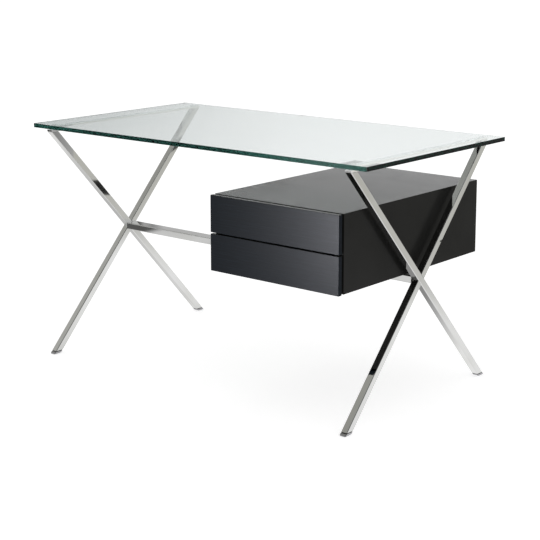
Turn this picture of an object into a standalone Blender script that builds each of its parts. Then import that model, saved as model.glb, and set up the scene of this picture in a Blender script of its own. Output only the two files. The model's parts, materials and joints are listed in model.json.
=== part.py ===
"""Glass-top desk: two welded X frames, a stretcher bar, and a two-drawer pedestal that rides on the bar.

Metres. +X is the sitter's right, -Y is the front, +Z is up. The origin is on the floor, under the middle
of the glass top. Each object is one physical piece, and empties hold the pieces that move together.
"""

import math

import bmesh
import bpy
from mathutils import Vector

# Overall
TOP_WIDTH = 1.220
TOP_DEPTH = 0.656
TOP_HEIGHT = 0.700
GLASS_THICKNESS = 0.012
GLASS_CORNER_RADIUS = 0.005
GLASS_ARRIS = 0.0008
FIT = 0.0003  # gap between pieces that touch

# X frames: square tube, standing in planes across the desk
TUBE = 0.020
TUBE_WALL = 0.0015
TUBE_CORNER = 0.0018
FRAME_OUTER_X = 0.558
CROSSING_HEIGHT = 0.3475
LEG_LEAN = 0.926  # how far a leg runs in Y for each unit of rise
RAIL_THICKNESS = 0.006
PAD_SPACE = 0.003
PAD_RADIUS = 0.008
PAD_INSET = 0.022  # from the rail's end to the pad's middle
GLIDE_HEIGHT = 0.009
GLIDE_PLUG = 0.016  # how far the glide's plug reaches into the leg
GLIDE_CHAMFER = 0.001

# Stretcher bar and its fixings
BAR_DEPTH = 0.040
BAR_HEIGHT = 0.020
BAR_WALL = 0.002
BAR_CORNER = 0.0022
SPIGOT_FLANGE = 0.002
SPIGOT_LENGTH = 0.045
SET_SCREW_RADIUS = 0.003
SET_SCREW_LENGTH = 0.008
SET_SCREW_INSET = 0.026  # from the bar's end
SCREW_CLEARANCE = 0.0003

# Pedestal
PEDESTAL_LEFT = 0.0945
PEDESTAL_RIGHT = 0.526
PEDESTAL_BOTTOM = 0.362
PEDESTAL_TOP = 0.570
PEDESTAL_FRONT = -0.325  # outer face of the drawer fronts
PEDESTAL_BACK = 0.323
PANEL = 0.016
BACK_PANEL = 0.008
BACK_INSET = 0.002
FRONT_THICKNESS = 0.013
FRONT_RECESS = 0.008  # shadow gap between the drawer fronts and the carcass
TOP_FORWARD = 0.0033  # the top panel reaches this much further over the gap
FRONT_SLOT = 0.004  # between the two drawer fronts
FRONT_DROP = 0.001  # the fronts sit this much lower than the carcass
PLATE_WIDTH = 0.050
PLATE_LENGTH = 0.160
PLATE_INSET = 0.070  # from the pedestal's side to the plate's middle
WOOD_SCREW_OFFSET = 0.062  # from the bar's middle
WOOD_SCREW_HEAD_RADIUS = 0.004
WOOD_SCREW_HEAD_HEIGHT = 0.0022
WOOD_SCREW_RADIUS = 0.002
WOOD_SCREW_LENGTH = 0.015
SOCKET_DEPTH = 0.0015

# Drawers and runners
DRAWER_HEIGHT = 0.070
DRAWER_LENGTH = 0.540
DRAWER_BOARD = 0.012
DRAWER_BOTTOM = 0.006
DRAWER_BOTTOM_LIFT = 0.006
LOWER_DRAWER_LIFT = 0.006  # above the carcass's bottom panel
DRAWER_PITCH = 0.090  # from the lower drawer to the upper one
RUNNER_SPACE = 0.0127  # between the carcass and the drawer's side
RUNNER_LENGTH = 0.500
RUNNER_SETBACK = 0.002  # from the carcass's front edge
RUNNER_STEEL = 0.0012
RUNNER_CABINET_HALF = 0.0175
RUNNER_MIDDLE_HALF = 0.0140
RUNNER_DRAWER_HALF = 0.0105

EDGE = 0.0006  # eased edge of boards and bars
EDGE_SEGMENTS = 2
ROUND_SEGMENTS = 3
SCREW_SIDES = 12
PAD_SIDES = 24

# Derived levels
GLASS_BOTTOM = TOP_HEIGHT - GLASS_THICKNESS
RAIL_TOP = GLASS_BOTTOM - PAD_SPACE
RAIL_BOTTOM = RAIL_TOP - RAIL_THICKNESS
LEG_HALF_RUN = TUBE / 2 * math.hypot(1, LEG_LEAN)  # half the width of a leg cut level
RAIL_END = LEG_LEAN * (RAIL_BOTTOM - CROSSING_HEIGHT) + LEG_HALF_RUN
FRAME_X = FRAME_OUTER_X - TUBE / 2
BAR_HALF_LENGTH = FRAME_OUTER_X - TUBE - SPIGOT_FLANGE - 2 * FIT
BAR_TOP = CROSSING_HEIGHT + BAR_HEIGHT / 2
BAR_BOTTOM = CROSSING_HEIGHT - BAR_HEIGHT / 2
CARCASS_FRONT = PEDESTAL_FRONT + FRONT_THICKNESS + FRONT_RECESS
INSIDE_LEFT = PEDESTAL_LEFT + PANEL
INSIDE_RIGHT = PEDESTAL_RIGHT - PANEL
INSIDE_BOTTOM = PEDESTAL_BOTTOM + PANEL
INSIDE_TOP = PEDESTAL_TOP - PANEL
FRONT_HEIGHT = (PEDESTAL_TOP - PEDESTAL_BOTTOM - FRONT_SLOT) / 2


def clear_scene():
    for obj in list(bpy.data.objects):
        bpy.data.objects.remove(obj, do_unlink=True)


def finish_of(name, colour, roughness, metallic=0.0, transmission=0.0):
    finish = bpy.data.materials.new(name)
    finish.use_nodes = True
    shader = finish.node_tree.nodes["Principled BSDF"].inputs
    shader["Base Color"].default_value = (*colour, 1)
    shader["Roughness"].default_value = roughness
    shader["Metallic"].default_value = metallic
    shader["Transmission Weight"].default_value = transmission
    return finish


def assembly(name, at):
    holder = bpy.data.objects.new(name, None)
    holder.location = at
    bpy.context.collection.objects.link(holder)
    return holder


def add_piece(name, bm, origin, holder, finish, smooth=False):
    """Makes the piece from a bmesh in world coordinates, with its own origin, under its assembly's empty."""
    bmesh.ops.recalc_face_normals(bm, faces=bm.faces)
    bmesh.ops.translate(bm, verts=bm.verts, vec=-Vector(origin))
    mesh = bpy.data.meshes.new(name)
    bm.to_mesh(mesh)
    bm.free()
    mesh.materials.append(finish)
    if smooth:
        mesh.shade_smooth()
        mesh.set_sharp_from_angle(angle=math.radians(35))
    piece = bpy.data.objects.new(name, mesh)
    bpy.context.collection.objects.link(piece)
    piece.parent = holder
    piece.location = Vector(origin) - holder.location
    return piece


def ease_edges(piece, width=EDGE, segments=EDGE_SEGMENTS):
    bevel = piece.modifiers.new("eased edges", "BEVEL")
    bevel.width = width
    bevel.segments = segments
    bevel.limit_method = "ANGLE"


def bore(piece, name, centre, radius, low, high):
    """Cuts an upright round hole through the piece from height low to height high."""
    rings = [circle(centre[0], centre[1], z, radius) for z in (low, high)]
    cutter = add_piece(name, loft(rings), (centre[0], centre[1], low), piece.parent, piece.data.materials[0])
    cutter.hide_render = True
    cutter.display_type = "WIRE"
    cut = piece.modifiers.new(name, "BOOLEAN")
    cut.operation = "DIFFERENCE"
    cut.object = cutter


def loft(rings, looped=False):
    """Skins rings of points one after another. A looped skin closes on itself, as a tube's walls do."""
    bm = bmesh.new()
    rows = [[bm.verts.new(point) for point in ring] for ring in rings]
    pairs = list(zip(rows, rows[1:]))
    if looped:
        pairs.append((rows[-1], rows[0]))
    for low, high in pairs:
        for i in range(len(low)):
            j = (i + 1) % len(low)
            bm.faces.new((low[i], low[j], high[j], high[i]))
    if not looped:
        bm.faces.new(rows[0])
        bm.faces.new(rows[-1])
    return bm


def circle(x, y, z, radius, sides=SCREW_SIDES):
    turns = [2 * math.pi * i / sides for i in range(sides)]
    return [Vector((x + radius * math.cos(t), y + radius * math.sin(t), z)) for t in turns]


def hexagon(x, y, z, flat_radius):
    """A hexagon with a point at each corner and at each side's middle, to match a circle of 12 sides."""
    ring = []
    for i in range(SCREW_SIDES):
        turn = 2 * math.pi * i / SCREW_SIDES
        radius = flat_radius if i % 2 else flat_radius / math.cos(math.pi / 6)
        ring.append(Vector((x + radius * math.cos(turn), y + radius * math.sin(turn), z)))
    return ring


def rounded_rectangle(half_u, half_v, radius, segments=ROUND_SEGMENTS):
    outline = []
    for quarter, (su, sv) in enumerate(((1, 1), (-1, 1), (-1, -1), (1, -1))):
        for step in range(segments + 1):
            turn = math.pi / 2 * (quarter + step / segments)
            u = su * (half_u - radius) + radius * math.cos(turn)
            v = sv * (half_v - radius) + radius * math.sin(turn)
            outline.append((u, v))
    return outline


def box(low, high):
    bm = bmesh.new()
    bmesh.ops.create_cube(bm, size=1)
    size = Vector(high) - Vector(low)
    middle = (Vector(high) + Vector(low)) / 2
    for vert in bm.verts:
        vert.co = middle + Vector(c * s for c, s in zip(vert.co, size))
    return bm


def board(name, low, high, holder, finish, edge=EDGE, segments=EDGE_SEGMENTS):
    middle = (Vector(high) + Vector(low)) / 2
    piece = add_piece(name, box(low, high), middle, holder, finish)
    ease_edges(piece, edge, segments)
    return piece


def extruded(outline_xz, front, back):
    """A closed outline in X and Z, drawn out along Y."""
    return loft([[Vector((x, y, z)) for x, z in outline_xz] for y in (front, back)])


# --- glass top ------------------------------------------------------------------------------------------


def make_glass_top(holder):
    half_x, half_y = TOP_WIDTH / 2, TOP_DEPTH / 2
    levels = (
        (GLASS_BOTTOM, GLASS_ARRIS),
        (GLASS_BOTTOM + GLASS_ARRIS, 0),
        (TOP_HEIGHT - GLASS_ARRIS, 0),
        (TOP_HEIGHT, GLASS_ARRIS),
    )
    rings = []
    for z, inset in levels:
        outline = rounded_rectangle(
            half_x - inset, half_y - inset, GLASS_CORNER_RADIUS - inset, 2 * ROUND_SEGMENTS
        )
        rings.append([Vector((x, y, z)) for x, y in outline])
    add_piece("glass_top", loft(rings), (0, 0, GLASS_BOTTOM), holder, GLASS, smooth=True)


def make_glass_pads(holder):
    for side, x in (("left", -FRAME_X), ("right", FRAME_X)):
        for end, y in (("front", PAD_INSET - RAIL_END), ("back", RAIL_END - PAD_INSET)):
            levels = (RAIL_TOP + FIT, GLASS_BOTTOM - FIT)
            rings = [circle(x, y, z, PAD_RADIUS, PAD_SIDES) for z in levels]
            add_piece(f"glass_pad_{side}_{end}", loft(rings), (x, y, levels[0]), holder, CLEAR_PLASTIC, True)


# --- X frames -------------------------------------------------------------------------------------------


def level_cut(z):
    """A level plane, as a point measured from the crossing and a normal."""
    return Vector((0, 0, z - CROSSING_HEIGHT)), Vector((0, 0, 1))


def flank_cut(lean, side):
    """The plane just outside one face of the leg that leans the given way."""
    normal = Vector((0, 1, -lean * LEG_LEAN)).normalized()
    return normal * side * (TUBE / 2 + FIT), normal


def leg_ring(frame_x, lean, half, radius, cut):
    """The outline of a square section on a leaning leg's axis, where a plane cuts the leg."""
    axis = Vector((0, lean * LEG_LEAN, 1)).normalized()
    across = Vector((0, 1, -lean * LEG_LEAN)).normalized()
    point, normal = cut
    ring = []
    for u, v in rounded_rectangle(half, half, radius):
        start = Vector((u, 0, 0)) + across * v
        along = (point - start).dot(normal) / axis.dot(normal)
        ring.append(start + axis * along + Vector((frame_x, 0, CROSSING_HEIGHT)))
    return ring


def make_leg_tube(name, frame_x, lean, low_cut, high_cut, holder):
    outer = (TUBE / 2, TUBE_CORNER)
    inner = (TUBE / 2 - TUBE_WALL, TUBE_CORNER / 3)
    ends = ((outer, low_cut), (outer, high_cut), (inner, high_cut), (inner, low_cut))
    rings = [leg_ring(frame_x, lean, half, radius, cut) for (half, radius), cut in ends]
    add_piece(name, loft(rings, looped=True), (frame_x, 0, CROSSING_HEIGHT), holder, CHROME, True)


def make_foot_glide(name, frame_x, lean, holder):
    """A solid foot that carries on the leg's slope, with a plug that fills the tube's end."""
    outer, inner = TUBE / 2, TUBE / 2 - TUBE_WALL - FIT
    steps = (
        (outer - GLIDE_CHAMFER, TUBE_CORNER, 0),
        (outer, TUBE_CORNER, GLIDE_CHAMFER),
        (outer, TUBE_CORNER, GLIDE_HEIGHT),
        (inner, TUBE_CORNER / 3, GLIDE_HEIGHT),
        (inner, TUBE_CORNER / 3, GLIDE_HEIGHT + GLIDE_PLUG),
    )
    rings = [leg_ring(frame_x, lean, half, radius, level_cut(z)) for half, radius, z in steps]
    foot = (frame_x, -lean * LEG_LEAN * CROSSING_HEIGHT, 0)
    add_piece(name, loft(rings), foot, holder, GLIDE_STEEL, True)


def make_x_frame(side, frame_x, holder):
    """The leg from front top to back foot is one tube. The other leg is two tubes welded to its faces."""
    foot_cut, top_cut = level_cut(GLIDE_HEIGHT + FIT), level_cut(RAIL_BOTTOM - FIT)
    make_leg_tube(f"{side}_leg_long", frame_x, -1, foot_cut, top_cut, holder)
    make_leg_tube(f"{side}_leg_upper_half", frame_x, 1, flank_cut(-1, 1), top_cut, holder)
    make_leg_tube(f"{side}_leg_lower_half", frame_x, 1, foot_cut, flank_cut(-1, -1), holder)
    half = TUBE / 2
    low, high = (frame_x - half, -RAIL_END, RAIL_BOTTOM), (frame_x + half, RAIL_END, RAIL_TOP)
    board(f"{side}_top_rail", low, high, holder, CHROME)
    make_foot_glide(f"foot_glide_{side}_back", frame_x, -1, holder)
    make_foot_glide(f"foot_glide_{side}_front", frame_x, 1, holder)


# --- stretcher bar --------------------------------------------------------------------------------------


def bar_ring(x, inset, radius):
    outline = rounded_rectangle(BAR_DEPTH / 2 - inset, BAR_HEIGHT / 2 - inset, radius)
    return [Vector((x, y, CROSSING_HEIGHT + z)) for y, z in outline]


def make_screw(name, x, y, base, head, shank, holder):
    """An upright screw with a hexagon socket below. head and shank are (radius, height); head may be None."""
    head_radius, head_height = head or shank
    socket = head_radius / 2
    levels = [
        hexagon(x, y, base + SOCKET_DEPTH, socket),
        hexagon(x, y, base, socket),
        circle(x, y, base, head_radius),
        circle(x, y, base + head_height, head_radius),
    ]
    if head:
        top = base + head_height
        levels += [circle(x, y, z, shank[0]) for z in (top, top + shank[1])]
    add_piece(name, loft(levels), (x, y, base), holder, ZINC_STEEL, True)


def make_stretcher(holder):
    inner_radius = BAR_CORNER - BAR_WALL / 2
    ends = (
        (-BAR_HALF_LENGTH, 0, BAR_CORNER),
        (BAR_HALF_LENGTH, 0, BAR_CORNER),
        (BAR_HALF_LENGTH, BAR_WALL, inner_radius),
        (-BAR_HALF_LENGTH, BAR_WALL, inner_radius),
    )
    rings = [bar_ring(x, inset, radius) for x, inset, radius in ends]
    bar = add_piece("stretcher_bar", loft(rings, looped=True), (0, 0, CROSSING_HEIGHT), holder, CHROME, True)
    tongue = BAR_WALL + FIT
    hole = SET_SCREW_RADIUS + SCREW_CLEARANCE
    for side, sign in (("left", -1), ("right", 1)):
        face = sign * (FRAME_OUTER_X - TUBE - FIT)
        shoulder = face - sign * SPIGOT_FLANGE
        steps = (
            (face, 0, BAR_CORNER),
            (shoulder, 0, BAR_CORNER),
            (shoulder, tongue, inner_radius),
            (shoulder - sign * SPIGOT_LENGTH, tongue, inner_radius),
        )
        rings = [bar_ring(x, inset, radius) for x, inset, radius in steps]
        spigot = add_piece(f"{side}_spigot", loft(rings), (face, 0, CROSSING_HEIGHT), holder, CHROME, True)
        x = sign * (BAR_HALF_LENGTH - SET_SCREW_INSET)
        tip = BAR_BOTTOM + SET_SCREW_LENGTH
        bore(bar, f"{side}_bar_hole", (x, 0), hole, BAR_BOTTOM - BAR_WALL, BAR_BOTTOM + 1.5 * BAR_WALL)
        bore(spigot, f"{side}_spigot_hole", (x, 0), hole, BAR_BOTTOM, tip + 2 * SCREW_CLEARANCE)
        shank = (SET_SCREW_RADIUS, SET_SCREW_LENGTH)
        make_screw(f"{side}_set_screw", x, 0, BAR_BOTTOM, None, shank, holder)


# --- pedestal -------------------------------------------------------------------------------------------


def make_carcass(holder):
    """Four mitred panels round an inset back."""
    left, right, low, high = PEDESTAL_LEFT, PEDESTAL_RIGHT, PEDESTAL_BOTTOM, PEDESTAL_TOP
    slip = FIT * math.sqrt(0.5)  # each mitre face stands back by this much along the panel
    outlines = {
        "top": (
            (left + slip, high),
            (right - slip, high),
            (INSIDE_RIGHT - slip, INSIDE_TOP),
            (INSIDE_LEFT + slip, INSIDE_TOP),
        ),
        "bottom": (
            (left + slip, low),
            (INSIDE_LEFT + slip, INSIDE_BOTTOM),
            (INSIDE_RIGHT - slip, INSIDE_BOTTOM),
            (right - slip, low),
        ),
        "left_side": (
            (left, low + slip),
            (left, high - slip),
            (INSIDE_LEFT, INSIDE_TOP - slip),
            (INSIDE_LEFT, INSIDE_BOTTOM + slip),
        ),
        "right_side": (
            (right, low + slip),
            (INSIDE_RIGHT, INSIDE_BOTTOM + slip),
            (INSIDE_RIGHT, INSIDE_TOP - slip),
            (right, high - slip),
        ),
    }
    panels = {}
    for name, outline in outlines.items():
        middle = sum((Vector((x, 0, z)) for x, z in outline), Vector()) / len(outline)
        front = CARCASS_FRONT - TOP_FORWARD if name == "top" else CARCASS_FRONT
        bm = extruded(outline, front, PEDESTAL_BACK)
        panels[name] = add_piece(f"carcass_{name}", bm, middle, holder, BLACK_LACQUER)
    back_face = PEDESTAL_BACK - BACK_INSET
    board(
        "carcass_back",
        (INSIDE_LEFT + FIT, back_face - BACK_PANEL, INSIDE_BOTTOM + FIT),
        (INSIDE_RIGHT - FIT, back_face, INSIDE_TOP - FIT),
        holder,
        BLACK_LACQUER,
    )
    return panels


def make_mounting(carcass_bottom, holder):
    """Two steel plates lie across the bar, and two screws go up through each into the carcass."""
    head = (WOOD_SCREW_HEAD_RADIUS, WOOD_SCREW_HEAD_HEIGHT)
    shank = (WOOD_SCREW_RADIUS, WOOD_SCREW_LENGTH)
    hole = WOOD_SCREW_RADIUS + SCREW_CLEARANCE
    low, high = BAR_TOP + FIT, PEDESTAL_BOTTOM - FIT
    base = low - FIT - WOOD_SCREW_HEAD_HEIGHT
    hole_top = base + WOOD_SCREW_HEAD_HEIGHT + WOOD_SCREW_LENGTH + SCREW_CLEARANCE
    for side, x in (("left", PEDESTAL_LEFT + PLATE_INSET), ("right", PEDESTAL_RIGHT - PLATE_INSET)):
        corner = Vector((PLATE_WIDTH / 2, PLATE_LENGTH / 2, 0))
        plate = board(
            f"mounting_plate_{side}",
            Vector((x, 0, low)) - corner,
            Vector((x, 0, high)) + corner,
            holder,
            BLACK_STEEL,
            segments=1,
        )
        for end, y in (("front", -WOOD_SCREW_OFFSET), ("back", WOOD_SCREW_OFFSET)):
            name = f"plate_screw_{side}_{end}"
            bore(plate, f"{name}_plate_hole", (x, y), hole, low - PAD_SPACE, high + PAD_SPACE)
            bore(carcass_bottom, f"{name}_panel_hole", (x, y), hole, low, hole_top)
            make_screw(name, x, y, base, head, shank, holder)


def make_drawer(level, front_low, box_low, holder):
    """A box of thin boards behind a handle-less front that stands proud of the carcass."""
    left, right = INSIDE_LEFT + RUNNER_SPACE, INSIDE_RIGHT - RUNNER_SPACE
    front_back = PEDESTAL_FRONT + FRONT_THICKNESS
    near = front_back + FIT
    far = near + DRAWER_LENGTH
    high = box_low + DRAWER_HEIGHT
    between = (left + DRAWER_BOARD + FIT, right - DRAWER_BOARD - FIT)
    board(
        f"{level}_drawer_front",
        (PEDESTAL_LEFT, PEDESTAL_FRONT, front_low),
        (PEDESTAL_RIGHT, front_back, front_low + FRONT_HEIGHT),
        holder,
        BLACK_VENEER,
    )
    boards = {
        "left_side": ((left, near, box_low), (left + DRAWER_BOARD, far, high)),
        "right_side": ((right - DRAWER_BOARD, near, box_low), (right, far, high)),
        "inner_front": ((between[0], near, box_low), (between[1], near + DRAWER_BOARD, high)),
        "back": ((between[0], far - DRAWER_BOARD, box_low), (between[1], far, high)),
        "bottom": (
            (between[0], near + DRAWER_BOARD + FIT, box_low + DRAWER_BOTTOM_LIFT),
            (between[1], far - DRAWER_BOARD - FIT, box_low + DRAWER_BOTTOM_LIFT + DRAWER_BOTTOM),
        ),
    }
    for name, (low, top) in boards.items():
        board(f"{level}_drawer_{name}", low, top, holder, DRAWER_WOOD, segments=1)


def make_channel(name, wall, sign, web, lip, half, z, holder):
    """A steel channel along Y. web and lip are distances from the carcass wall, of its back and its edges."""
    inner = web + math.copysign(RUNNER_STEEL, lip - web)
    outline = (
        (web, -half),
        (lip, -half),
        (lip, RUNNER_STEEL - half),
        (inner, RUNNER_STEEL - half),
        (inner, half - RUNNER_STEEL),
        (lip, half - RUNNER_STEEL),
        (lip, half),
        (web, half),
    )
    front = CARCASS_FRONT + RUNNER_SETBACK
    bm = extruded([(wall + sign * u, z + v) for u, v in outline], front, front + RUNNER_LENGTH)
    add_piece(name, bm, (wall + sign * web, front, z), holder, ZINC_STEEL)


def make_runners(level, z, carcass, middles, drawer):
    """Each runner is three nested channels. The middle one travels half as far as the drawer."""
    edge = RUNNER_SPACE - FIT
    for side, wall, sign in (("left", INSIDE_LEFT, 1), ("right", INSIDE_RIGHT, -1)):
        members = (
            ("cabinet", FIT, 0.0100, RUNNER_CABINET_HALF, carcass),
            ("middle", 0.0035, 0.0100, RUNNER_MIDDLE_HALF, middles),
            ("drawer", edge, 0.0062, RUNNER_DRAWER_HALF, drawer),
        )
        for member, web, lip, half, holder in members:
            name = f"{level}_runner_{side}_{member}"
            make_channel(name, wall, sign, web, lip, half, z, holder)


GLASS = finish_of("clear_glass", (0.86, 0.94, 0.91), 0.02, transmission=1.0)
CLEAR_PLASTIC = finish_of("clear_plastic", (0.80, 0.82, 0.82), 0.25, transmission=0.8)
CHROME = finish_of("polished_chrome", (0.78, 0.79, 0.80), 0.05, metallic=1.0)
GLIDE_STEEL = finish_of("glide_steel", (0.62, 0.63, 0.64), 0.20, metallic=1.0)
ZINC_STEEL = finish_of("zinc_steel", (0.60, 0.62, 0.64), 0.35, metallic=1.0)
BLACK_STEEL = finish_of("black_steel", (0.02, 0.02, 0.02), 0.45)
BLACK_LACQUER = finish_of("black_lacquer", (0.018, 0.018, 0.019), 0.22)
BLACK_VENEER = finish_of("black_veneer", (0.022, 0.024, 0.028), 0.40)
DRAWER_WOOD = finish_of("drawer_wood", (0.05, 0.05, 0.052), 0.50)


def main():
    clear_scene()
    base = assembly("base", (0, 0, CROSSING_HEIGHT))
    make_glass_top(base)
    make_glass_pads(base)
    make_x_frame("left", -FRAME_X, base)
    make_x_frame("right", FRAME_X, base)
    make_stretcher(base)

    middle_x = (PEDESTAL_LEFT + PEDESTAL_RIGHT) / 2
    pedestal = assembly("pedestal", (middle_x, 0, PEDESTAL_BOTTOM))
    panels = make_carcass(pedestal)
    make_mounting(panels["bottom"], pedestal)

    lower_box = INSIDE_BOTTOM + LOWER_DRAWER_LIFT
    lower_front = PEDESTAL_BOTTOM - FRONT_DROP
    for level, front_low, box_low in (
        ("lower", lower_front, lower_box),
        ("upper", lower_front + FRONT_HEIGHT + FRONT_SLOT, lower_box + DRAWER_PITCH),
    ):
        runner_z = box_low + DRAWER_HEIGHT / 2
        drawer = assembly(f"{level}_drawer", (middle_x, PEDESTAL_FRONT, runner_z))
        middles = assembly(f"{level}_runner_middles", (middle_x, CARCASS_FRONT, runner_z))
        make_drawer(level, front_low, box_low, drawer)
        make_runners(level, runner_z, pedestal, middles, drawer)


main()
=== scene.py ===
"""A studio picture of a glass-top desk with chrome X frames and a black two-drawer pedestal.

Sizes are in metres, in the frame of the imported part. Each visible piece is remade with rounded edges
and a procedural finish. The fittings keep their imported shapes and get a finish.
"""

import json
import math

import bmesh
import bpy
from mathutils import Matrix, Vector

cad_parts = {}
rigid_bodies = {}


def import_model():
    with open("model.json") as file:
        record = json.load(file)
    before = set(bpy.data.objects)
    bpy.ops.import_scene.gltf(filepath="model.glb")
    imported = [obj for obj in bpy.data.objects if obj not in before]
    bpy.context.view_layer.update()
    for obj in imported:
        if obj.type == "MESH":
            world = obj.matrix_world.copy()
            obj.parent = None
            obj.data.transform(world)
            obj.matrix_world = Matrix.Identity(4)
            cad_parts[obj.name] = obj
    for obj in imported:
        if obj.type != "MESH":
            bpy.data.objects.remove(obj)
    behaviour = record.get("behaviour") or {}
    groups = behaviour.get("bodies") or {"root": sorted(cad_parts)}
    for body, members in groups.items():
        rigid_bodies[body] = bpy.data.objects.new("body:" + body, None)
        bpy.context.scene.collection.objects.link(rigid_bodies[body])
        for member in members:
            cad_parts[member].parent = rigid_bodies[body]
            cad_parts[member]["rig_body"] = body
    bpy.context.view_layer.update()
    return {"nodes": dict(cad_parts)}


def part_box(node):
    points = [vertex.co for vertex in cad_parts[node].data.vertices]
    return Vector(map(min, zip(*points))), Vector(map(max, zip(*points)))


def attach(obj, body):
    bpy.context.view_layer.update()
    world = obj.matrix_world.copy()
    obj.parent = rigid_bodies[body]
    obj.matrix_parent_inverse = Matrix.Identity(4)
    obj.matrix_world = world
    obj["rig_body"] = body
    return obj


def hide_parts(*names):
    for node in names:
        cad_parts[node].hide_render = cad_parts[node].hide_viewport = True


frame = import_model()

SIDES = ("left", "right")
LEVELS = ("lower", "upper")
SHARP_ANGLE = math.radians(40)
CORNER_STEPS = 6

# Glass and pads
GLASS_ARRIS = 0.0005
GLASS_CORNER = 0.0030
GLASS_CORNER_STEPS = 8
GLASS_HALF_WIDTH = 0.61
GLASS_FRONT_EDGE = -0.327  # everything in front of this Y is the front edge
PAD_SOFTENING = 0.0005
PAD_SIDES = 40

# X frames
LEG_LEAN = 0.926  # how far a leg runs in Y for each unit of rise
TUBE_WALL = 0.0015
TUBE_CORNER = 0.0020
BORE_CORNER = TUBE_CORNER / 3
TUBE_LIP = 0.0004
WELD_OFFSET = 0.01005  # from the long leg's axis to where a half leg starts
RAIL_ROUNDING = 0.0008

# Feet
FOOT_ROUNDING = ((0.0034, 0), (0.0017, 0.0004), (0.0006, 0.0015), (0, 0.0030))  # (inset, height)
FOOT_SHOULDER = 0.0074  # the black collar starts here
FOOT_SEAM = 0.0093  # and the leg tube here
COLLAR_INSET = 0.0009
COLLAR_STEP = 0.0001
PLUG_CLEARANCE = 0.0003

# Stretcher
BAR_LIP = 0.0004
BAR_CORNER = 0.0022
BAR_WALL = 0.002

# Pedestal
PANEL = 0.016
PANEL_ROUNDING = 0.0006
FRONT_ROUNDING = 0.0009

# Studio
FLOOR_RADIUS = 60
BACK_CARD_Y = 1.25
FLOOR_CARD_HEIGHT = 0.002


# --- mesh helpers -----------------------------------------------------------------------------------


def new_object(name, bm, materials):
    mesh = bpy.data.meshes.new(name)
    bm.to_mesh(mesh)
    bm.free()
    for material in materials:
        mesh.materials.append(material)
    thing = bpy.data.objects.new(name, mesh)
    bpy.context.scene.collection.objects.link(thing)
    return thing


def add_piece(name, bm, finishes, node):
    """A piece that stands for one CAD node and rides on that node's body."""
    bmesh.ops.recalc_face_normals(bm, faces=bm.faces)
    piece = new_object(name, bm, finishes)
    piece.data.shade_smooth()
    piece.data.set_sharp_from_angle(angle=SHARP_ANGLE)
    weigh_normals(piece)
    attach(piece, frame["nodes"][node]["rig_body"])
    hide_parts(node)
    return piece


def weigh_normals(piece):
    """Flat faces keep their own normals, and only the rounded edges between them shade as curves."""
    weigh = piece.modifiers.new("weighted normals", "WEIGHTED_NORMAL")
    weigh.mode = "FACE_AREA"
    weigh.weight = 100
    weigh.keep_sharp = True


def round_edges(piece, width, segments=3, angle=30):
    """Puts a bevel before the weighted normals."""
    bevel = piece.modifiers.new("rounded edges", "BEVEL")
    bevel.width = width
    bevel.segments = segments
    bevel.limit_method = "ANGLE"
    bevel.angle_limit = math.radians(angle)
    bevel.harden_normals = False
    piece.modifiers.move(len(piece.modifiers) - 1, 0)


def loft(rings, looped=False):
    """Skins a row of outlines. It is capped at both ends unless the last joins the first."""
    bm = bmesh.new()
    rows = [[bm.verts.new(point) for point in ring] for ring in rings]
    pairs = list(zip(rows, rows[1:]))
    if looped:
        pairs.append((rows[-1], rows[0]))
    for low, high in pairs:
        for i in range(len(low)):
            j = (i + 1) % len(low)
            bm.faces.new((low[i], low[j], high[j], high[i]))
    if not looped:
        bm.faces.new(rows[0])
        bm.faces.new(rows[-1])
    return bm


def rounded_rectangle(half_u, half_v, radius, steps=CORNER_STEPS):
    outline = []
    for quarter, (su, sv) in enumerate(((1, 1), (-1, 1), (-1, -1), (1, -1))):
        for step in range(steps + 1):
            turn = math.pi / 2 * (quarter + step / steps)
            u = su * (half_u - radius) + radius * math.cos(turn)
            v = sv * (half_v - radius) + radius * math.sin(turn)
            outline.append((u, v))
    return outline


def circle(x, y, z, radius, sides):
    turns = [2 * math.pi * i / sides for i in range(sides)]
    return [Vector((x + radius * math.cos(t), y + radius * math.sin(t), z)) for t in turns]


def box_mesh(low, high):
    bm = bmesh.new()
    bmesh.ops.create_cube(bm, size=1)
    size = Vector(high) - Vector(low)
    middle = (Vector(high) + Vector(low)) / 2
    for vert in bm.verts:
        vert.co = middle + Vector(c * s for c, s in zip(vert.co, size))
    return bm


# --- node helpers -----------------------------------------------------------------------------------


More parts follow.
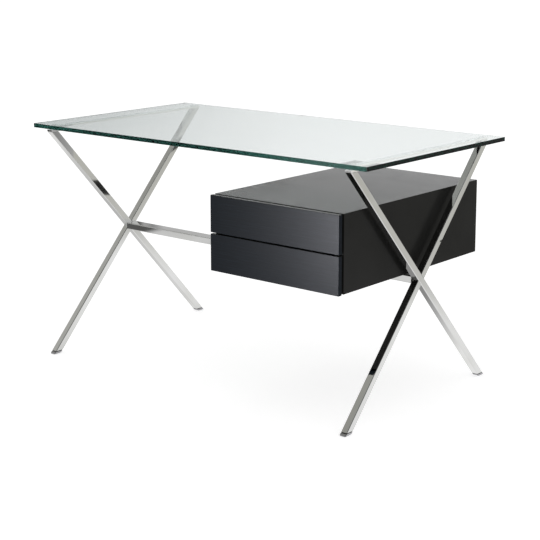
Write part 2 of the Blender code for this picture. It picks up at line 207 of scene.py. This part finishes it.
class Nodes:
    """A node tree, and helpers that add texture nodes to it."""

    def __init__(self, tree, coordinate):
        self.tree = tree
        self.place = tree.nodes.new("ShaderNodeTexCoord").outputs[coordinate]

    def feed(self, socket, value):
        """Links an output to the socket, or sets the socket's own value."""
        if isinstance(value, bpy.types.NodeSocket):
            self.tree.links.new(value, socket)
        else:
            socket.default_value = value

    def node(self, kind, **inputs):
        node = self.tree.nodes.new(f"ShaderNode{kind}")
        for name, value in inputs.items():
            self.feed(node.inputs[name.replace("_", " ")], value)
        return node

    def stretched(self, scale, centre=(0, 0, 0)):
        shift = [-c * s for c, s in zip(centre, scale)]
        return self.node("Mapping", Scale=scale, Location=shift, Vector=self.place).outputs["Vector"]

    def noise(self, scale, detail=2.0, roughness=0.5, stretch=(1, 1, 1), distortion=0.0):
        place = self.stretched(stretch)
        node = self.node("TexNoise", Scale=scale, Detail=detail, Roughness=roughness, Vector=place)
        self.feed(node.inputs["Distortion"], distortion)
        return node.outputs["Fac"]

    def ramp(self, value, *stops):
        """stops are (position, grey or (r, g, b))."""
        node = self.node("ValToRGB", Fac=value)
        elements = node.color_ramp.elements
        while len(elements) < len(stops):
            elements.new(0.5)
        for element, (position, shade) in zip(elements, stops):
            element.position = position
            colour = (shade, shade, shade) if isinstance(shade, (int, float)) else shade
            element.color = (*colour, 1)
        return node.outputs["Color"]

    def remap(self, value, low, high, start=0.3, end=0.7):
        node = self.node("MapRange", From_Min=start, From_Max=end, To_Min=low, To_Max=high)
        self.feed(node.inputs["Value"], value)
        return node.outputs["Result"]

    def maths(self, operation, first, second):
        node = self.node("Math")
        node.operation = operation
        self.feed(node.inputs[0], first)
        self.feed(node.inputs[1], second)
        return node.outputs["Value"]

    def vector_maths(self, operation, first):
        node = self.node("VectorMath")
        node.operation = operation
        self.feed(node.inputs[0], first)
        return node

    def toward(self, direction):
        """How far the point lies along a direction."""
        node = self.vector_maths("DOT_PRODUCT", self.place)
        self.feed(node.inputs[1], direction)
        return node.outputs["Value"]

    def spread(self, centre, reach):
        """0 at the centre of an ellipse and 1 at its rim."""
        return self.vector_maths("LENGTH", self.stretched([1 / r for r in reach], centre)).outputs["Value"]

    def dimmed(self, colour, factor):
        node = self.vector_maths("SCALE", colour)
        self.feed(node.inputs["Scale"], factor)
        return node.outputs["Vector"]

    def blend(self, factor, first, second):
        node = self.tree.nodes.new("ShaderNodeMix")
        node.data_type = "RGBA"
        self.feed(node.inputs["Factor"], factor)
        for socket, value in zip([s for s in node.inputs if s.type == "RGBA"], (first, second)):
            self.feed(socket, value)
        return next(s for s in node.outputs if s.type == "RGBA")

    def ray(self, kind):
        return self.node("LightPath").outputs[kind]

    def seen_by_mirror(self):
        """1 for a ray that a surface has reflected, and 0 for a ray straight on or through glass."""
        straight = self.maths("SUBTRACT", 1.0, self.ray("Is Transmission Ray"))
        return self.maths("MULTIPLY", self.ray("Is Glossy Ray"), straight)

    def behind_glass(self, surfaces, gain):
        """1, or the gain for a ray that has crossed more than this many surfaces of glass."""
        crossed = self.maths("GREATER_THAN", self.ray("Transmission Depth"), surfaces + 0.5)
        return self.remap(crossed, 1.0, gain, 0.0, 1.0)


class Finish(Nodes):
    """A material with one Principled shader."""

    def __init__(self, name, **sockets):
        self.material = bpy.data.materials.new(name)
        self.material.use_nodes = True
        super().__init__(self.material.node_tree, "Object")
        self.shader = self.tree.nodes["Principled BSDF"]
        self.output = self.tree.nodes["Material Output"]
        for socket, value in sockets.items():
            self.feed(self.shader.inputs[socket.replace("_", " ")], value)

    def colour(self, source):
        self.feed(self.shader.inputs["Base Color"], source)

    def roughness(self, source):
        self.feed(self.shader.inputs["Roughness"], source)

    def bump(self, height, strength, distance):
        node = self.node("Bump", Strength=strength, Distance=distance, Height=height)
        self.feed(self.shader.inputs["Normal"], node.outputs["Normal"])


# --- finishes of the object -------------------------------------------------------------------------


def chrome_finish(name, dull, bright):
    finish = Finish(name, Metallic=1.0)
    clouds = finish.noise(9.0, detail=4)
    finish.colour(finish.ramp(clouds, (0.3, dull), (0.7, bright)))
    smears = finish.noise(30.0, detail=6, roughness=0.65, stretch=(1, 1, 0.5))
    finish.roughness(finish.remap(smears, 0.015, 0.050))
    ripple = finish.noise(26.0, detail=1)
    finish.bump(ripple, 0.10, 0.00012)
    return finish.material


def clear_glass_finish():
    """Float glass: nearly clear through the pane, deep green along it, with painted shade darkest at the
    front left.
    """
    finish = Finish("clear_glass", Roughness=0.0, IOR=1.52, Transmission_Weight=1.0)
    clouds = finish.noise(3.0, detail=3)
    clear = finish.ramp(clouds, (0.3, (0.985, 0.995, 0.992)), (0.7, (1.0, 1.0, 1.0)))
    # Painted shade on the front edge: its colour is dimmed along X by this ramp.
    across = finish.remap(finish.toward((1, 0, 0)), 0.0, 1.0, -GLASS_HALF_WIDTH, GLASS_HALF_WIDTH)
    shade = finish.ramp(
        across, (0.0, 0.60), (0.09, 0.55), (0.20, 0.24), (0.50, 0.18), (0.64, 0.40), (0.745, 1.0)
    )
    front_edge = finish.maths("LESS_THAN", finish.toward((0, 1, 0)), GLASS_FRONT_EDGE)
    finish.colour(finish.blend(front_edge, clear, finish.dimmed(clear, shade)))
    dust = finish.noise(24.0, detail=5, roughness=0.6)
    finish.roughness(finish.remap(dust, 0.0, 0.006, 0.45, 0.75))
    tint = finish.node("VolumeAbsorption", Color=(0.15, 0.445, 0.40, 1), Density=6.0)
    finish.feed(finish.output.inputs["Volume"], tint.outputs["Volume"])
    return finish.material


def lacquer_finish(name, shine):
    finish = Finish(name, IOR=1.45, Specular_IOR_Level=shine)
    clouds = finish.noise(6.0, detail=4)
    dark, light = (0.0120, 0.0120, 0.0114), (0.0172, 0.0172, 0.0164)
    finish.colour(finish.ramp(clouds, (0.3, dark), (0.7, light)))
    smears = finish.noise(14.0, detail=3, roughness=0.5)
    finish.roughness(finish.remap(smears, 0.20, 0.25))
    peel = finish.noise(260.0, detail=1)
    finish.bump(peel, 0.06, 0.00003)
    return finish.material


def veneer_finish():
    """Black-stained veneer with fine grain along X."""
    finish = Finish("black_veneer", IOR=1.45, Specular_IOR_Level=0.05)
    fine = finish.noise(1.0, detail=5, roughness=0.65, stretch=(16, 90, 1100))
    broad = finish.noise(1.0, detail=3, roughness=0.5, stretch=(9, 40, 330), distortion=0.2)
    fine_share, broad_share = finish.maths("MULTIPLY", fine, 0.6), finish.maths("MULTIPLY", broad, 0.4)
    grain = finish.maths("ADD", fine_share, broad_share)
    dark, middle, light = (0.001, 0.003, 0.005), (0.004, 0.007, 0.011), (0.012, 0.017, 0.023)
    finish.colour(finish.ramp(grain, (0.36, dark), (0.52, middle), (0.66, light)))
    finish.roughness(finish.remap(grain, 0.40, 0.31))
    finish.bump(grain, 0.35, 0.0003)
    return finish.material


def foil_finish():
    """The dark foil on the drawer boxes, with a faint grain along Y."""
    finish = Finish("drawer_foil", IOR=1.45)
    grain = finish.noise(1.0, detail=4, roughness=0.6, stretch=(240, 14, 240))
    dark, light = (0.038, 0.038, 0.039), (0.075, 0.074, 0.073)
    finish.colour(finish.ramp(grain, (0.35, dark), (0.65, light)))
    finish.roughness(finish.remap(grain, 0.42, 0.56))
    finish.bump(grain, 0.2, 0.0002)
    return finish.material


def zinc_finish():
    finish = Finish("zinc_steel", Metallic=1.0)
    bloom = finish.noise(60.0, detail=5, roughness=0.7)
    finish.colour(finish.ramp(bloom, (0.3, (0.44, 0.46, 0.48)), (0.7, (0.60, 0.62, 0.64))))
    drawn = finish.noise(1.0, detail=4, stretch=(700, 12, 700))
    finish.roughness(finish.remap(drawn, 0.24, 0.42))
    finish.bump(drawn, 0.12, 0.0001)
    return finish.material


def powder_finish():
    finish = Finish("black_powder_coat", IOR=1.45)
    grain = finish.noise(900.0, detail=3)
    finish.colour(finish.ramp(grain, (0.3, 0.010), (0.7, 0.022)))
    finish.roughness(finish.remap(grain, 0.45, 0.62))
    finish.bump(grain, 0.5, 0.0002)
    return finish.material


def foot_finish():
    finish = Finish("satin_foot", Metallic=1.0)
    clouds = finish.noise(45.0, detail=4)
    finish.colour(finish.ramp(clouds, (0.3, (0.29, 0.29, 0.30)), (0.7, (0.37, 0.37, 0.38))))
    scuffs = finish.noise(160.0, detail=5, roughness=0.7)
    finish.roughness(finish.remap(scuffs, 0.14, 0.30))
    finish.bump(scuffs, 0.15, 0.0001)
    return finish.material


def collar_finish():
    finish = Finish("foot_collar", IOR=1.48, Specular_IOR_Level=0.25)
    grain = finish.noise(500.0, detail=3)
    finish.colour(finish.ramp(grain, (0.3, 0.010), (0.7, 0.022)))
    finish.roughness(finish.remap(grain, 0.35, 0.50))
    return finish.material


def pad_finish():
    finish = Finish("clear_pad", IOR=1.46, Transmission_Weight=1.0)
    haze = finish.noise(300.0, detail=3)
    finish.colour(finish.ramp(haze, (0.3, 0.84), (0.7, 0.93)))
    finish.roughness(finish.remap(haze, 0.08, 0.20))
    return finish.material


CHROME = chrome_finish("polished_chrome", (0.545, 0.545, 0.530), (0.600, 0.602, 0.600))
RAIL_CHROME = chrome_finish("rail_chrome", (0.80, 0.80, 0.79), (0.86, 0.86, 0.86))
GLASS = clear_glass_finish()
LACQUER = lacquer_finish("black_lacquer", 0.06)
# A lit copy of the same lacquer: five times its specular level stands in for the light on the top, the
# back and the fronts' upper edges.
LIT_LACQUER = lacquer_finish("black_lacquer_lit", 0.30)
VENEER = veneer_finish()
FOIL = foil_finish()
ZINC = zinc_finish()
POWDER = powder_finish()
FOOT = foot_finish()
COLLAR = collar_finish()
PAD = pad_finish()

# The first word that a CAD node's name holds says which finish the node gets.
FITTING_FINISHES = (
    ("spigot", CHROME),
    ("plate_screw", ZINC),
    ("set_screw", ZINC),
    ("runner", ZINC),
    ("mounting_plate", POWDER),
    ("drawer", FOIL),
)


# --- glass top --------------------------------------------------------------------------------------


def make_glass():
    low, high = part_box("glass_top")
    profile = []
    for turn in (0, 30, 60, 90):
        turn = math.radians(turn)
        inset = GLASS_ARRIS * (1 - math.sin(turn))
        rise = GLASS_ARRIS * (1 - math.cos(turn))
        profile.append((inset, rise))
    levels = [(low.z + rise, inset) for inset, rise in profile]
    levels += [(high.z - rise, inset) for inset, rise in reversed(profile)]
    rings = []
    for z, inset in levels:
        radius = GLASS_CORNER - inset
        outline = rounded_rectangle(high.x - inset, high.y - inset, radius, GLASS_CORNER_STEPS)
        rings.append([Vector((x, y, z)) for x, y in outline])
    add_piece("glass_pane", loft(rings), [GLASS], "glass_top")


def make_pads():
    for side in SIDES:
        for end in ("front", "back"):
            node = f"glass_pad_{side}_{end}"
            low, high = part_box(node)
            x, y, radius = (low.x + high.x) / 2, (low.y + high.y) / 2, (high.x - low.x) / 2
            soft = PAD_SOFTENING
            steps = ((low.z, soft), (low.z + soft, 0), (high.z - soft, 0), (high.z, soft))
            rings = [circle(x, y, z, radius - inset, PAD_SIDES) for z, inset in steps]
            add_piece(f"pad_{side}_{end}", loft(rings), [PAD], node)


# --- X frames and stretcher -------------------------------------------------------------------------
# A cut is a plane, as a point and a normal. A lean is 1 for a leg that rises toward the back, and -1
# for one that rises toward the front.


def level_cut(z):
    return Vector((0, 0, z)), Vector((0, 0, 1))


def flank_cut(crossing, lean, side, offset):
    """The plane of a leaning leg's flank."""
    normal = Vector((0, 1, -lean * LEG_LEAN)).normalized()
    return crossing + normal * side * offset, normal


def shifted(cut, distance):
    point, normal = cut
    return point + normal * distance, normal


def leg_ring(centre, lean, half, radius, cut):
    """The outline of a square section on a leaning leg's axis, where a plane cuts the leg."""
    axis = Vector((0, lean * LEG_LEAN, 1)).normalized()
    across = Vector((0, 1, -lean * LEG_LEAN)).normalized()
    point, normal = cut
    ring = []
    for u, v in rounded_rectangle(half, half, radius):
        start = centre + Vector((u, 0, 0)) + across * v
        along = (point - start).dot(normal) / axis.dot(normal)
        ring.append(start + axis * along)
    return ring


def make_leg(node, lean, low_cut, high_cut, crossing):
    """An open square tube between two cuts, with softened rims."""
    low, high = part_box(node)
    half = (high.x - low.x) / 2
    lip = TUBE_LIP
    steps = (
        (half - lip, TUBE_CORNER - lip, low_cut),
        (half, TUBE_CORNER, shifted(low_cut, lip)),
        (half, TUBE_CORNER, shifted(high_cut, -lip)),
        (half - lip, TUBE_CORNER - lip, high_cut),
        (half - TUBE_WALL, BORE_CORNER, high_cut),
        (half - TUBE_WALL, BORE_CORNER, low_cut),
    )
    rings = [leg_ring(crossing, lean, size, radius, cut) for size, radius, cut in steps]
    add_piece(f"{node}_tube", loft(rings, looped=True), [CHROME], node)


def make_foot(node, lean, crossing):
    """A satin block that is rounded at the floor, a recessed black collar, and a plug in the tube."""
    low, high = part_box(node)
    half = (high.x - low.x) / 2
    collar = half - COLLAR_INSET
    plug = half - TUBE_WALL - PLUG_CLEARANCE
    steps = [(half - inset, TUBE_CORNER, z) for inset, z in FOOT_ROUNDING]
    steps += [
        (half, TUBE_CORNER, FOOT_SHOULDER - TUBE_LIP),
        (half - TUBE_LIP, TUBE_CORNER, FOOT_SHOULDER),
        (collar, TUBE_CORNER, FOOT_SHOULDER + COLLAR_STEP),
        (collar, TUBE_CORNER, FOOT_SEAM - TUBE_LIP),
        (plug, BORE_CORNER, FOOT_SEAM - PLUG_CLEARANCE),
        (plug, BORE_CORNER, high.z),
    ]
    rings = [leg_ring(crossing, lean, size, radius, level_cut(z)) for size, radius, z in steps]
    bm = loft(rings)
    for face in bm.faces:
        if face.calc_center_median().z > FOOT_SHOULDER:
            face.material_index = 1
    add_piece(f"{node}_block", bm, [FOOT, COLLAR], node)


def make_frame(side):
    rail_low, rail_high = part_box(f"{side}_top_rail")
    bar_low, bar_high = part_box("stretcher_bar")
    crossing = Vector(((rail_low.x + rail_high.x) / 2, 0, (bar_low.z + bar_high.z) / 2))
    leg_low, leg_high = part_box(f"{side}_leg_long")
    foot, top = level_cut(leg_low.z), level_cut(leg_high.z)
    above = flank_cut(crossing, -1, 1, WELD_OFFSET)
    below = flank_cut(crossing, -1, -1, WELD_OFFSET)
    make_leg(f"{side}_leg_long", -1, foot, top, crossing)
    make_leg(f"{side}_leg_upper_half", 1, above, top, crossing)
    make_leg(f"{side}_leg_lower_half", 1, foot, below, crossing)
    make_foot(f"foot_glide_{side}_back", -1, crossing)
    make_foot(f"foot_glide_{side}_front", 1, crossing)
    node = f"{side}_top_rail"
    bm = box_mesh(rail_low, rail_high)
    rail = add_piece(f"{node}_strip", bm, [RAIL_CHROME], node)
    round_edges(rail, RAIL_ROUNDING, 4)


def make_bar():
    low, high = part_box("stretcher_bar")
    middle = (low + high) / 2
    half_y, half_z = (high.y - low.y) / 2, (high.z - low.z) / 2
    steps = (
        (low.x, BAR_LIP, BAR_CORNER - BAR_LIP),
        (low.x + BAR_LIP, 0, BAR_CORNER),
        (high.x - BAR_LIP, 0, BAR_CORNER),
        (high.x, BAR_LIP, BAR_CORNER - BAR_LIP),
        (high.x, BAR_WALL, BAR_CORNER / 2),
        (low.x, BAR_WALL, BAR_CORNER / 2),
    )
    rings = []
    for x, inset, radius in steps:
        outline = rounded_rectangle(half_y - inset, half_z - inset, radius)
        rings.append([Vector((x, middle.y + y, middle.z + z)) for y, z in outline])
    bm = loft(rings, looped=True)
    add_piece("stretcher_tube", bm, [CHROME], "stretcher_bar")


# --- pedestal ---------------------------------------------------------------------------------------


def mitred_outline(name, low, high):
    """The section of a carcass panel in X and Z, with its long edges cut at 45 degrees."""
    outer, inner = {
        "top": (high.z, high.z - PANEL),
        "bottom": (low.z, low.z + PANEL),
        "left_side": (low.x, low.x + PANEL),
        "right_side": (high.x, high.x - PANEL),
    }[name]
    if name in ("top", "bottom"):
        return [(low.x, outer), (high.x, outer), (high.x - PANEL, inner), (low.x + PANEL, inner)]
    return [(outer, low.z), (outer, high.z), (inner, high.z - PANEL), (inner, low.z + PANEL)]


def make_carcass():
    for name in ("top", "bottom", "left_side", "right_side"):
        node = f"carcass_{name}"
        low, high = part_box(node)
        outline = mitred_outline(name, low, high)
        bm = loft([[Vector((x, y, z)) for x, z in outline] for y in (low.y, high.y)])
        # The top gets the lit copy of the lacquer, and so does the back below.
        finish = LIT_LACQUER if name == "top" else LACQUER
        panel = add_piece(f"{node}_panel", bm, [finish], node)
        round_edges(panel, PANEL_ROUNDING, angle=20)
    make_board("carcass_back", "carcass_back_panel", [LIT_LACQUER], PANEL_ROUNDING)


def make_board(node, name, finishes, width):
    """A board with rounded edges, whose upper edge has the last of its finishes."""
    bm = box_mesh(*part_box(node))
    bm.normal_update()
    for face in bm.faces:
        if face.normal.z > 0.5:
            face.material_index = len(finishes) - 1
    board = add_piece(name, bm, finishes, node)
    round_edges(board, width)


def make_fronts():
    # The upper edges of the fronts get the lit copy of the lacquer.
    finishes = [VENEER, LIT_LACQUER]
    for level in LEVELS:
        name = f"{level}_front_panel"
        make_board(f"{level}_drawer_front", name, finishes, FRONT_ROUNDING)


def finish_fittings():
    """The CAD nodes that still show keep their shape and get a finish."""
    for name, node in frame["nodes"].items():
        if not node.hide_render:
            finish = next(finish for word, finish in FITTING_FINISHES if word in name)
            node.data.materials.clear()
            node.data.materials.append(finish)


# --- studio -----------------------------------------------------------------------------------------


def mirrored_floor(finish):
    """A painted reflection of the floor for mirrors: lit round the desk, dimmer behind it, dark far to the
    left, with painted shadows under the pedestal and beside the left frame.
    """
    depth = finish.remap(finish.toward((0, 1, 0)), 0.0, 1.0, -2.5, 2.5)
    lit = finish.ramp(
        depth,
        (0.00, 0.80),
        (0.26, 0.96),
        (0.46, 1.08),
        (0.52, 1.14),
        (0.63, 1.13),
        (0.67, (1.03, 1.03, 1.02)),
        (0.71, (0.83, 0.83, 0.81)),
        (0.77, (0.755, 0.75, 0.715)),
        (1.00, (0.70, 0.695, 0.65)),
    )
    across = finish.remap(finish.toward((1, 0, 0)), 0.0, 1.0, -2.0, 2.0)
    side = finish.ramp(
        across, (0.105, 0.16), (0.12, 0.95), (0.18, 1.05), (0.21, 0.88), (0.345, 0.86), (0.395, 1.08)
    )
    # Painted shadows: darker under the pedestal and beside the left frame.
    from_pedestal = finish.spread((0.31, 0, 0), (0.20, 0.33, 1))
    pedestal_shadow = finish.remap(from_pedestal, 0.32, 1.0, 0.40, 1.20)
    from_frame = finish.spread((-0.95, 0, 0), (0.34, 0.34, 1))
    frame_shadow = finish.remap(from_frame, 0.72, 1.0, 0.0, 1.0)
    painted_shadows = finish.maths("MULTIPLY", pedestal_shadow, frame_shadow)
    # Painted light: the floor is 1.4 times as bright where the mirror is seen through the glass.
    strength = finish.maths("MULTIPLY", painted_shadows, finish.behind_glass(0, 1.40))
    return finish.dimmed(finish.dimmed(lit, strength), side)


def make_floor():
    """A pale floor, with a second tone that only mirrors see: a painted reflection with painted shadows.
    """
    finish = Finish("studio_floor", Roughness=0.85, Specular_IOR_Level=0.0, Emission_Strength=0.60)
    finish.feed(finish.shader.inputs["Emission Color"], (1, 1, 1, 1))
    tone = finish.noise(0.6, detail=2)
    finish.colour(finish.ramp(tone, (0.3, 0.90), (0.7, 0.92)))
    glow = finish.node("Emission", Color=mirrored_floor(finish))
    either = finish.node("MixShader", Fac=finish.seen_by_mirror())
    finish.feed(either.inputs[1], finish.shader.outputs["BSDF"])
    finish.feed(either.inputs[2], glow.outputs["Emission"])
    finish.feed(finish.output.inputs["Surface"], either.outputs["Shader"])
    bm = bmesh.new()
    bmesh.ops.create_circle(bm, cap_ends=True, radius=FLOOR_RADIUS, segments=96)
    new_object("floor", bm, [finish.material])


def make_world():
    """White all round for what is seen straight or lit, and for mirrors a room that darkens overhead."""
    world = bpy.data.worlds.new("studio")
    bpy.context.scene.world = world
    world.use_nodes = True
    room = Nodes(world.node_tree, "Generated")
    height = room.node("SeparateXYZ", Vector=room.place).outputs["Z"]
    graded = room.ramp(
        height,
        (0.0, (1.08, 1.09, 1.10)),
        (0.22, (1.05, 1.06, 1.07)),
        (0.45, (0.80, 0.80, 0.78)),
        (0.74, (0.44, 0.44, 0.41)),
        (1.0, 0.55),
    )
    dark_side = room.remap(room.toward((0.62, -0.45, 0.64)), 1.0, 0.06, 0.60, 0.86)
    mottle = room.remap(room.noise(7.0, detail=2), 0.86, 1.12)
    uneven = room.maths("MULTIPLY", dark_side, mottle)
    mirrored = room.dimmed(graded, room.maths("MULTIPLY", uneven, room.behind_glass(2, 2.0)))
    plain = room.blend(room.ray("Is Diffuse Ray"), (1, 1, 1, 1), (0.55, 0.55, 0.55, 1))
    shown = room.blend(room.ray("Is Glossy Ray"), plain, mirrored)
    room.feed(world.node_tree.nodes["Background"].inputs["Color"], shown)


def glow_material(name, shades):
    """Emission that follows shades of grey along the mesh's U coordinate."""
    material = bpy.data.materials.new(name)
    material.use_nodes = True
    tree = material.node_tree
    tree.nodes.remove(tree.nodes["Principled BSDF"])
    nodes = Nodes(tree, "UV")
    along = nodes.node("SeparateXYZ", Vector=nodes.place).outputs["X"]
    glow = nodes.node("Emission", Color=nodes.ramp(along, *shades))
    nodes.feed(tree.nodes["Material Output"].inputs["Surface"], glow.outputs["Emission"])
    return material


def reflector(name, corners, shades):
    """A glowing card that only mirrors see, a painted reflection, shaded evenly from its first two corners
    to its last two.
    """
    bm = bmesh.new()
    bm.faces.new([bm.verts.new(corner) for corner in corners])
    card = new_object(name, bm, [glow_material(name, shades)])
    uv = card.data.uv_layers.new(name="shade")
    for loop, along in zip(uv.data, (0, 0, 1, 1)):
        loop.uv = (along, 0.5)
    card.visible_camera = False
    card.visible_diffuse = False
    card.visible_transmission = False
    card.visible_shadow = False


def floor_card(name, centre, along, reach, half_width, shade):
    """A mirror-only card lying on the floor, a painted reflection."""
    along = Vector((*along, 0)).normalized()
    across = Vector((-along.y, along.x, 0))
    middle = Vector((*centre, FLOOR_CARD_HEIGHT))
    corners = []
    for u, v in ((-1, -1), (-1, 1), (1, 1), (1, -1)):
        corners.append(middle + along * u * reach + across * v * half_width)
    reflector(name, corners, ((0.0, shade), (1.0, shade)))


def standing_card(name, start, end, low, high, shades):
    """An upright mirror-only card between two points (x, y) and two heights, shaded start to end."""
    reflector(name, ((*start, low), (*start, high), (*end, high), (*end, low)), shades)


def make_reflectors():
    # Painted reflections: each card glows only for mirrors, and is hidden from the camera, diffuse rays,
    # rays through glass and shadows.
    y = BACK_CARD_Y
    upper = ((0.15, 0.05), (0.35, 0.32), (0.55, 0.62), (0.75, 0.74), (1.0, 0.80))
    lower = ((0.0, 0.10), (0.49, 0.12), (0.51, 0.50), (0.54, 0.34), (0.58, 0.60), (1.0, 0.66))
    along_front = ((0.0, 0.02), (0.72, 0.03), (0.81, 0.40), (0.88, 0.70), (0.95, 0.40))
    standing_card("back_card", (-2.9, y), (0.6, y), 0.80, 1.25, upper)
    standing_card("low_back_card", (-2.6, y), (-0.9, y), 0.45, 0.80, lower)
    floor_card("near_floor_reflection", (1.38, 1.68), (0.81, 0.585), 0.21, 0.10, 0.03)
    floor_card("far_floor_reflection", (2.06, 2.94), (0.63, 0.78), 0.20, 0.09, 0.08)
    # The front card puts a painted highlight on the glass's front edge towards its right end. The right
    # card is a painted reflection in the right edge.
    standing_card("front_reflection_card", (-0.85, -0.40), (0.62, -0.40), 0.664, 0.688, along_front)
    standing_card("right_reflection_card", (0.68, -0.30), (0.68, 0.50), 0.662, 0.684, ((0.0, 0.20), (1.0, 0.24)))
    standing_card("side_card", (0.09, 0.20), (0.09, 0.33), 0.40, 0.57, ((0.0, 0.30), (1.0, 0.60)))


def make_strip_light():
    """A light for the drawer fronts alone, so that they brighten towards their right ends."""
    light = bpy.data.lights.new("front_strip", "AREA")
    light.shape = "RECTANGLE"
    light.size = 0.22
    light.size_y = 0.9
    light.energy = 124
    light.color = (0.94, 0.94, 1.0)
    strip = bpy.data.objects.new("front_strip", light)
    strip.location = (-0.05, -1.45, 0.51)
    aim = Vector((0.45, -0.325, 0.46)) - strip.location
    strip.rotation_euler = aim.to_track_quat("-Z", "Y").to_euler()
    strip.visible_camera = False
    strip.visible_transmission = False
    strip.visible_diffuse = False
    bpy.context.scene.collection.objects.link(strip)
    fronts = bpy.data.collections.new("lit_by_front_strip")
    for level in LEVELS:
        fronts.objects.link(bpy.data.objects[f"{level}_front_panel"])
    strip.light_linking.receiver_collection = fronts


def make_camera():
    camera = bpy.data.cameras.new("camera")
    camera.lens = 93.15
    camera.sensor_width = 36
    camera.shift_x = -0.0015
    camera.shift_y = -0.1667
    camera.clip_start = 0.05
    camera.clip_end = 200
    holder = bpy.data.objects.new("camera", camera)
    holder.location = (2.5661, -3.0426, 1.268)
    holder.rotation_euler = (math.pi / 2 - 0.1777, 0, 0.6939)
    bpy.context.scene.collection.objects.link(holder)
    bpy.context.scene.camera = holder


def allow_long_paths():
    """Light that comes out of the glass's edge has been reflected many times inside the pane."""
    cycles = bpy.context.scene.cycles
    cycles.max_bounces = 32
    cycles.glossy_bounces = 24
    cycles.transmission_bounces = 32


make_glass()
make_pads()
for side in SIDES:
    make_frame(side)
make_bar()
make_carcass()
make_fronts()
finish_fittings()

make_floor()
make_world()
make_reflectors()
make_strip_light()
make_camera()
bpy.context.scene.view_settings.view_transform = "Standard"
allow_long_paths()
